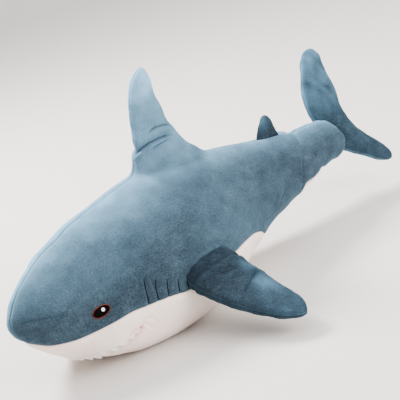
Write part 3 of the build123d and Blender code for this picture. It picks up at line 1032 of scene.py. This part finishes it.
def make_pectoral(side_name):
    side = SIDES[side_name]
    droop = math.radians(20)
    out_dir = Vector((0, side * math.cos(droop), -math.sin(droop)))
    up_dir = Vector((0, side * math.sin(droop), math.cos(droop)))
    place = from_hinge(JOINTS[f"pectoral_{side_name}_flap"], out_dir, up_dir)
    tip = 0.1825
    rows = [
        (-0.050, 0.300, 0.405, 0.0225),
        (-0.030, 0.293, 0.409, 0.0235),
        (-0.014, 0.289, 0.410, 0.0232),
        (0.004, 0.289, 0.408, 0.0220),
        (0.028, 0.292, 0.405, 0.0200),
        (0.058, 0.299, 0.404, 0.0180),
        (0.090, 0.309, 0.404, 0.0160),
        (0.120, 0.321, 0.403, 0.0140),
        (0.148, 0.336, 0.4015, 0.0125),
        (0.168, 0.348, 0.3990, 0.0115),
        (tip, 0.358, 0.3970, 0.0105),
    ]

    def detail(out, along, across, upper):
        rise, dark = crease(out, along, [(0.046, 0.404), (0.056, 0.384), (0.066, 0.362), (0.077, 0.340),
                                         (0.084, 0.325)], 0.0050, 0.0034)
        more, deep = crease(out, along, [(0.018, 0.330), (0.024, 0.352), (0.028, 0.372)], 0.0040, 0.0020)
        ring = -0.0020 * bell(out + 0.006, 0.004) + 0.0014 * bell(out - 0.006, 0.008)
        # Painted light on the upper panel: two lit patches and more towards the tip.
        pale = 0.42 * bell(np.hypot(out - 0.086, along - 0.378), 0.022)
        pale += 0.36 * bell(np.hypot(out - 0.034, along - 0.392), 0.015)
        pale += 0.10 * smoothstep(0.05, 0.18, out)
        # Painted shade in the creases and round the root.
        dark = np.maximum(np.maximum(dark, deep * 0.6), 0.4 * bell(out + 0.006, 0.004))
        return rise + more + ring, dark, pale * (upper > 0)

    shaped = rounded(rows, 1 - (1 - np.linspace(0, 1, 120)) ** 1.5, (0.148, tip))
    return fin_panels(f"pectoral_fin_{side_name}", ("upper", "lower"), shaped, place, 72, detail, seed=31,
                      start=(0, side * 0.128, 0), end=(0, side * 0.168, 0), seam_shade=0.75,
                      seam_highlight=0.10)


def make_second_dorsal():
    def place(out, along, across):
        return (NOSE_X - along, across, out)

    def detail(out, along, across, side):
        # Painted light near the fin's tip, ahead of its trailing edge.
        return 0, 0, 0.35 * smoothstep(0.235, 0.265, out) * smoothstep(0.70, 0.675, along)

    tip = 0.2705
    rows = [
        (0.196, 0.646, 0.717, 0.0130),
        (0.214, 0.650, 0.713, 0.0118),
        (0.228, 0.654, 0.708, 0.0105),
        (0.241, 0.659, 0.704, 0.0092),
        (0.253, 0.665, 0.702, 0.0078),
        (0.262, 0.670, 0.701, 0.0070),
        (tip, 0.674, 0.699, 0.0062),
    ]
    shaped = rounded(rows, 1 - (1 - np.linspace(0, 1, 56)) ** 1.5, (0.250, tip))
    return fin_panels("second_dorsal_fin", ("left", "right"), shaped, place, 44, detail, seed=51,
                      start=(0, 0, 0.216), end=(0, 0, 0.246))


def make_tail():
    up_dir = Vector(JOINTS["tail_sway"]["axis"]).normalized()
    place = from_hinge(JOINTS["tail_sway"], up_dir, Vector((0, up_dir.z, -up_dir.y)))
    low_tip, high_tip = -0.1215, 0.191
    rows = [
        (low_tip, 0.9655, 1.0065, 0.0080),
        (-0.104, 0.9492, 0.9988, 0.0100),
        (-0.086, 0.927, 0.989, 0.0122),
        (-0.064, 0.897, 0.974, 0.0150),
        (-0.044, 0.874, 0.959, 0.0170),
        (-0.015, 0.862, 0.938, 0.0185),
        (0.015, 0.852, 0.930, 0.0185),
        (0.040, 0.842, 0.932, 0.0180),
        (0.062, 0.840, 0.938, 0.0170),
        (0.090, 0.848, 0.944, 0.0155),
        (0.118, 0.860, 0.947, 0.0140),
        (0.145, 0.878, 0.952, 0.0125),
        (0.168, 0.8935, 0.958, 0.0112),
        (high_tip, 0.904, 0.960, 0.0100),
    ]

    def detail(out, along, across, side):
        rise, dark = crease(out, along, [(0.004, 0.880), (0.010, 0.905), (0.008, 0.930)], 0.0050, 0.0030)
        more, deep = crease(out, along, [(0.084, 0.925), (0.096, 0.912), (0.104, 0.898)], 0.0040, 0.0018)
        # Painted light up both lobes, and painted shade in the creases.
        pale = 0.30 * smoothstep(0.02, 0.10, out) + 0.26 * smoothstep(0.13, 0.19, out)
        return rise + more, np.maximum(dark * 0.6, deep * 0.5), pale + 0.08

    shares = (1 - np.cos(np.linspace(0, math.pi, 170))) / 2
    shaped = rounded(rows, shares, (-0.098, low_tip), (0.158, high_tip))
    return fin_panels("tail_fin", ("left", "right"), shaped, place, 60, detail, seed=71,
                      seam_shade=0.45, seam_highlight=0.45)


# ---------------------------------------------------------------- filling

def clear_of_joints(points):
    """Keep the body's filling behind the lower jaw and short of the tail fin's root."""
    low = above_lip(points) < 0.006
    tail_sweep = 0.048          # how far ahead of its hinge the tail fin's root reaches as it sways
    points[low, 0] = np.minimum(points[low, 0], MOUTH.x - 0.020)
    points[:, 0] = np.maximum(points[:, 0], JOINTS["tail_sway"]["pos_m"][0] + tail_sweep)


def make_filling(body, cover, coarse, margin, outward_at=None, trim=None):
    """Loose fibre inside one body's cover, in faces of a coarse size, at least the margin under the
    cloth."""
    node = f"{body}_stuffing"
    obj = bpy.data.objects.new(f"{body}_filling", frame["nodes"][node].data.copy())
    bpy.context.scene.collection.objects.link(obj)
    voxel_remesh(obj, coarse)
    relax(obj, 3)
    points = coordinates(obj)
    points -= normals(obj) * (1.2 * margin + 0.0015 * waves(points, 0.02, 5))[:, None]
    for _ in range(2):
        for i, point in enumerate(points):
            nearest, outward, _, _ = cover.find_nearest(Vector(point))
            if outward_at:
                outward = outward_at(nearest)
            if (nearest - Vector(point)).dot(outward) < margin:
                points[i] = nearest - outward * margin
    if trim:
        trim(points)
    set_coordinates(obj, points)
    dress(obj, "fibre_filling", body, [node])


# ---------------------------------------------------------------- embroidery, teeth and mouth

def drape(origin, direction):
    """Where a line meets the finished body cover, with the outward direction there."""
    hit, normal, _, _ = SURFACE["tree"].ray_cast(origin, direction)
    if normal.dot(direction) > 0:
        normal = -normal
    return hit, normal


def eye_patch(part, side_name, centre, axes, size, lift, strands, hole=None):
    """Domed satin-stitch patch in an ellipse, laid on the cover; hole is the inner ellipse of a ring."""
    name = f"eye_{part}_{side_name}"
    across, up, out = axes
    rings, around = 14, 120
    inner = hole or (0.0, 0.0)
    points = []
    for i in range(rings + 1):
        band = i / rings
        wide = inner[0] + (size[0] - inner[0]) * band
        high = inner[1] + (size[1] - inner[1]) * band
        for j in range(around):
            angle = 2 * math.pi * j / around
            sideways = wide * math.cos(angle)
            hit, _ = drape(centre + across * sideways + up * (high * math.sin(angle)) + out * 0.03, -out)
            dome = math.sin(math.pi * band) ** 0.5 if hole else math.sqrt(max(0.0, 1 - band**4))
            ridge = math.cos(angle * strands) if hole else math.cos(math.pi * strands * sideways / size[0])
            rise = lift * dome + 0.00012 * ridge * dome - (0.0008 if dome < 0.05 else 0)
            points.append(hit + out * rise)
    faces = grid_faces(rings + 1, around, True)
    if not hole:
        faces.append(tuple(range(around))[::-1])
    obj = new_object(name, points, faces)
    face_along(obj, out)
    dress(obj, f"eye_{part}_thread", "body", [name])


def make_eye(side_name):
    side = SIDES[side_name]
    low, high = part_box(f"eye_ring_{side_name}")
    middle = (low + high) / 2
    hit, normal = drape(Vector((middle.x, side * 0.4, middle.z)), Vector((0, -side, 0)))
    across = Vector((1, 0, 0))
    across = (across - normal * across.dot(normal)).normalized()
    up = normal.cross(across)
    up = up if up.z > 0 else -up
    tilt = math.radians(5)
    across, up = (across * math.cos(tilt) - up * math.sin(tilt),
                  up * math.cos(tilt) + across * math.sin(tilt))
    axes = (across, up, normal)
    ring = (0.0178, 0.0104)
    band = 0.0020
    inside = (ring[0] - band, ring[1] - band)
    pupil = (inside[0] + 0.0004, inside[1] + 0.0004)
    glint = hit - across * 0.0040 + up * 0.0016
    eye_patch("ring", side_name, hit, axes, ring, 0.0017, 110, hole=inside)
    eye_patch("pupil", side_name, hit, axes, pupil, 0.0013, 34)
    eye_patch("glint", side_name, glint, axes, (0.0036, 0.0036), 0.0023, 10)


def make_gill(side_name, number):
    """One raised line of satin stitch, leaning and slightly bowed."""
    node = f"gill_stitch_{side_name}_{number}"
    side = SIDES[side_name]
    low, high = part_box(node)
    width = 0.0013
    top = Vector((low.x + width, 0, high.z))
    bottom = Vector((high.x - width, 0, low.z))
    steps, around = 60, 8
    points = []
    for i in range(steps + 1):
        t = i / steps
        spot = top.lerp(bottom, t) + Vector((0.0016 * math.sin(math.pi * t), 0, 0))
        hit, normal = drape(Vector((spot.x, side * 0.4, spot.z)), Vector((0, -side, 0)))
        taper = min(1.0, 0.35 + 6 * min(t, 1 - t))
        across = Vector((1, 0, 0)) - normal * normal.x
        across.normalize()
        for j in range(around + 1):
            angle = math.pi * j / around
            twist = 1 + 0.16 * math.cos(2 * math.pi * (t * 26 + j / around))
            points.append(hit + across * (width * taper * math.cos(angle))
                          + normal * (0.0013 * taper * twist * math.sin(angle) - 0.0004))
    obj = new_object(node + "_thread", points, grid_faces(steps + 1, around + 1, False))
    face_along(obj, Vector((0, side, 0)))
    dress(obj, "gill_thread", "body", [node])


def lip_line(count):
    """Evenly spaced points along the upper lip, from one corner of the mouth round to the other."""
    ahead = Vector((LIP_NORMAL.z, 0, -LIP_NORMAL.x))
    hits = []
    for sway in np.radians(np.linspace(-90, 90, 361)):
        ray = ahead * math.cos(sway) + Vector((0, math.sin(sway), 0))
        hits.append(drape(MOUTH + ray * 0.4, -ray)[0])
    hits = np.array(hits)
    length = np.concatenate([[0], np.cumsum(np.linalg.norm(np.diff(hits, axis=0), axis=1))])
    steps = np.linspace(0, length[-1], count)
    return steps, np.stack([np.interp(steps, length, hits[:, axis]) for axis in range(3)], axis=1)


def make_teeth():
    """Zigzag felt strip sewn under the upper lip; its points grow from the corners to the front."""
    steps, line = lip_line(1200)
    half = steps[-1] / 2
    pitch = 0.0185
    first = [0.0110, 0.0236, 0.0372]        # ends of the narrow teeth next to a corner, along the lip
    heights = (0.0040, 0.0072, 0.0100, 0.0118, 0.0132)      # from a corner inwards
    root, thick = 0.0026, 0.0016
    beyond = round((half - pitch / 2 - first[-1]) / pitch)
    ends = first + list(np.linspace(first[-1], half - pitch / 2, beyond + 1)[1:])
    ends = ends + [2 * half - end for end in reversed(ends)]
    rng = np.random.default_rng(12)
    per_tooth, drop_steps = 16, 8
    front, rear = [], []
    for tooth, (start, end) in enumerate(zip(ends[:-1], ends[1:])):
        inward = min(tooth, len(ends) - 2 - tooth, len(heights) - 1)
        height = heights[inward] * (1 + 0.07 * rng.uniform(-1, 1))
        for step in range(per_tooth + (tooth == len(ends) - 2)):
            local = step / per_tooth
            spot = Vector([np.interp(start + (end - start) * local, steps, line[:, a]) for a in range(3)])
            normal = body_normal(spot)
            down = (normal * LIP_NORMAL.dot(normal) - LIP_NORMAL).normalized()
            away = math.sqrt((2 * local - 1) ** 2 + 0.012) - 0.11
            reach = root + height * (1 - max(0.0, away) / 0.896)
            for k in range(drop_steps + 1):
                share = k / drop_steps
                lie = SURFACE["tree"].find_nearest(spot + down * (reach * share))[0]
                outward = body_normal(lie)
                lift = -0.0014 if k == 0 else 0.0016 + 0.0034 * share * height / 0.012
                front.append(lie + outward * (lift + thick / 2))
                rear.append(lie + outward * (lift - thick / 2))
    count, width = len(front), drop_steps + 1
    faces = grid_faces(count // width, width, False)
    faces += [tuple(count + i for i in reversed(f)) for f in faces]
    top, bottom = range(0, count, width), range(drop_steps, count, width)
    rim = [*top, *range(top[-1] + 1, bottom[-1]), *reversed(bottom), *range(drop_steps - 1, 0, -1)]
    for a, b in zip(rim, rim[1:] + rim[:1]):
        faces.append((a, b, count + b, count + a))
    obj = new_object("upper_teeth_strip", front + rear, faces)
    face_outwards(obj)
    dress(obj, "white_felt", "body", ["upper_teeth"])


def make_lining(name, node, body, floor):
    """Sheet from a lip in towards the line through the mouth's corners, softly rumpled."""
    deep, reach, thick = 24, 0.9, 0.0012
    _, line = lip_line(140)
    points = []
    for i, place in enumerate(line):
        spot = Vector(place)
        inward = MOUTH - spot
        inward = inward * (1 - 0.0018 / max(inward.length, 0.003))
        drop = float(mouth_gap(NOSE_X - spot.x)) if floor else 0.0
        for k in range(deep + 1):
            share = k / deep
            rumple = 0.0009 * math.sin(share * 9 + i * 0.3) * math.sin(math.pi * share)
            lift = 0.0030 * math.sin(math.pi * min(1, share * 1.4))
            level = -(drop + thick + lift) if floor else 0.0008 + lift
            points.append(MOUTH - inward * (1 - reach * share) + LIP_NORMAL * (level + rumple))
    obj = new_object(name, points, grid_faces(len(line), deep + 1, False))
    obj.modifiers.new("thick", "SOLIDIFY").thickness = thick
    apply_modifiers(obj)
    dress(obj, "pink_lining", body, [node])


# ---------------------------------------------------------------- build

make_camera()
make_studio()
MATERIALS = make_materials()
make_body()
pectorals = {name: make_pectoral(name) for name in SIDES}
second_dorsal = make_second_dorsal()
tail = make_tail()
for name in SIDES:
    make_eye(name)
    for number in GILLS:
        make_gill(name, number)
make_teeth()
make_lining("mouth_roof_cloth", "mouth_roof_lining", "body", False)
make_lining("mouth_floor_cloth", "mouth_floor_lining", "lower_jaw", True)

skin = SURFACE["tree"]
make_filling("body", skin, 0.010, 0.012, body_normal, clear_of_joints)
make_filling("lower_jaw", skin, 0.006, 0.008, body_normal)
make_filling("dorsal_fin", skin, 0.004, 0.008, body_normal)
for name, covers in pectorals.items():
    make_filling(f"pectoral_fin_{name}", tree_of(covers), 0.004, 0.004)
make_filling("second_dorsal_fin", tree_of(second_dorsal), 0.003, 0.002)
make_filling("tail_fin", tree_of(tail), 0.004, 0.004)
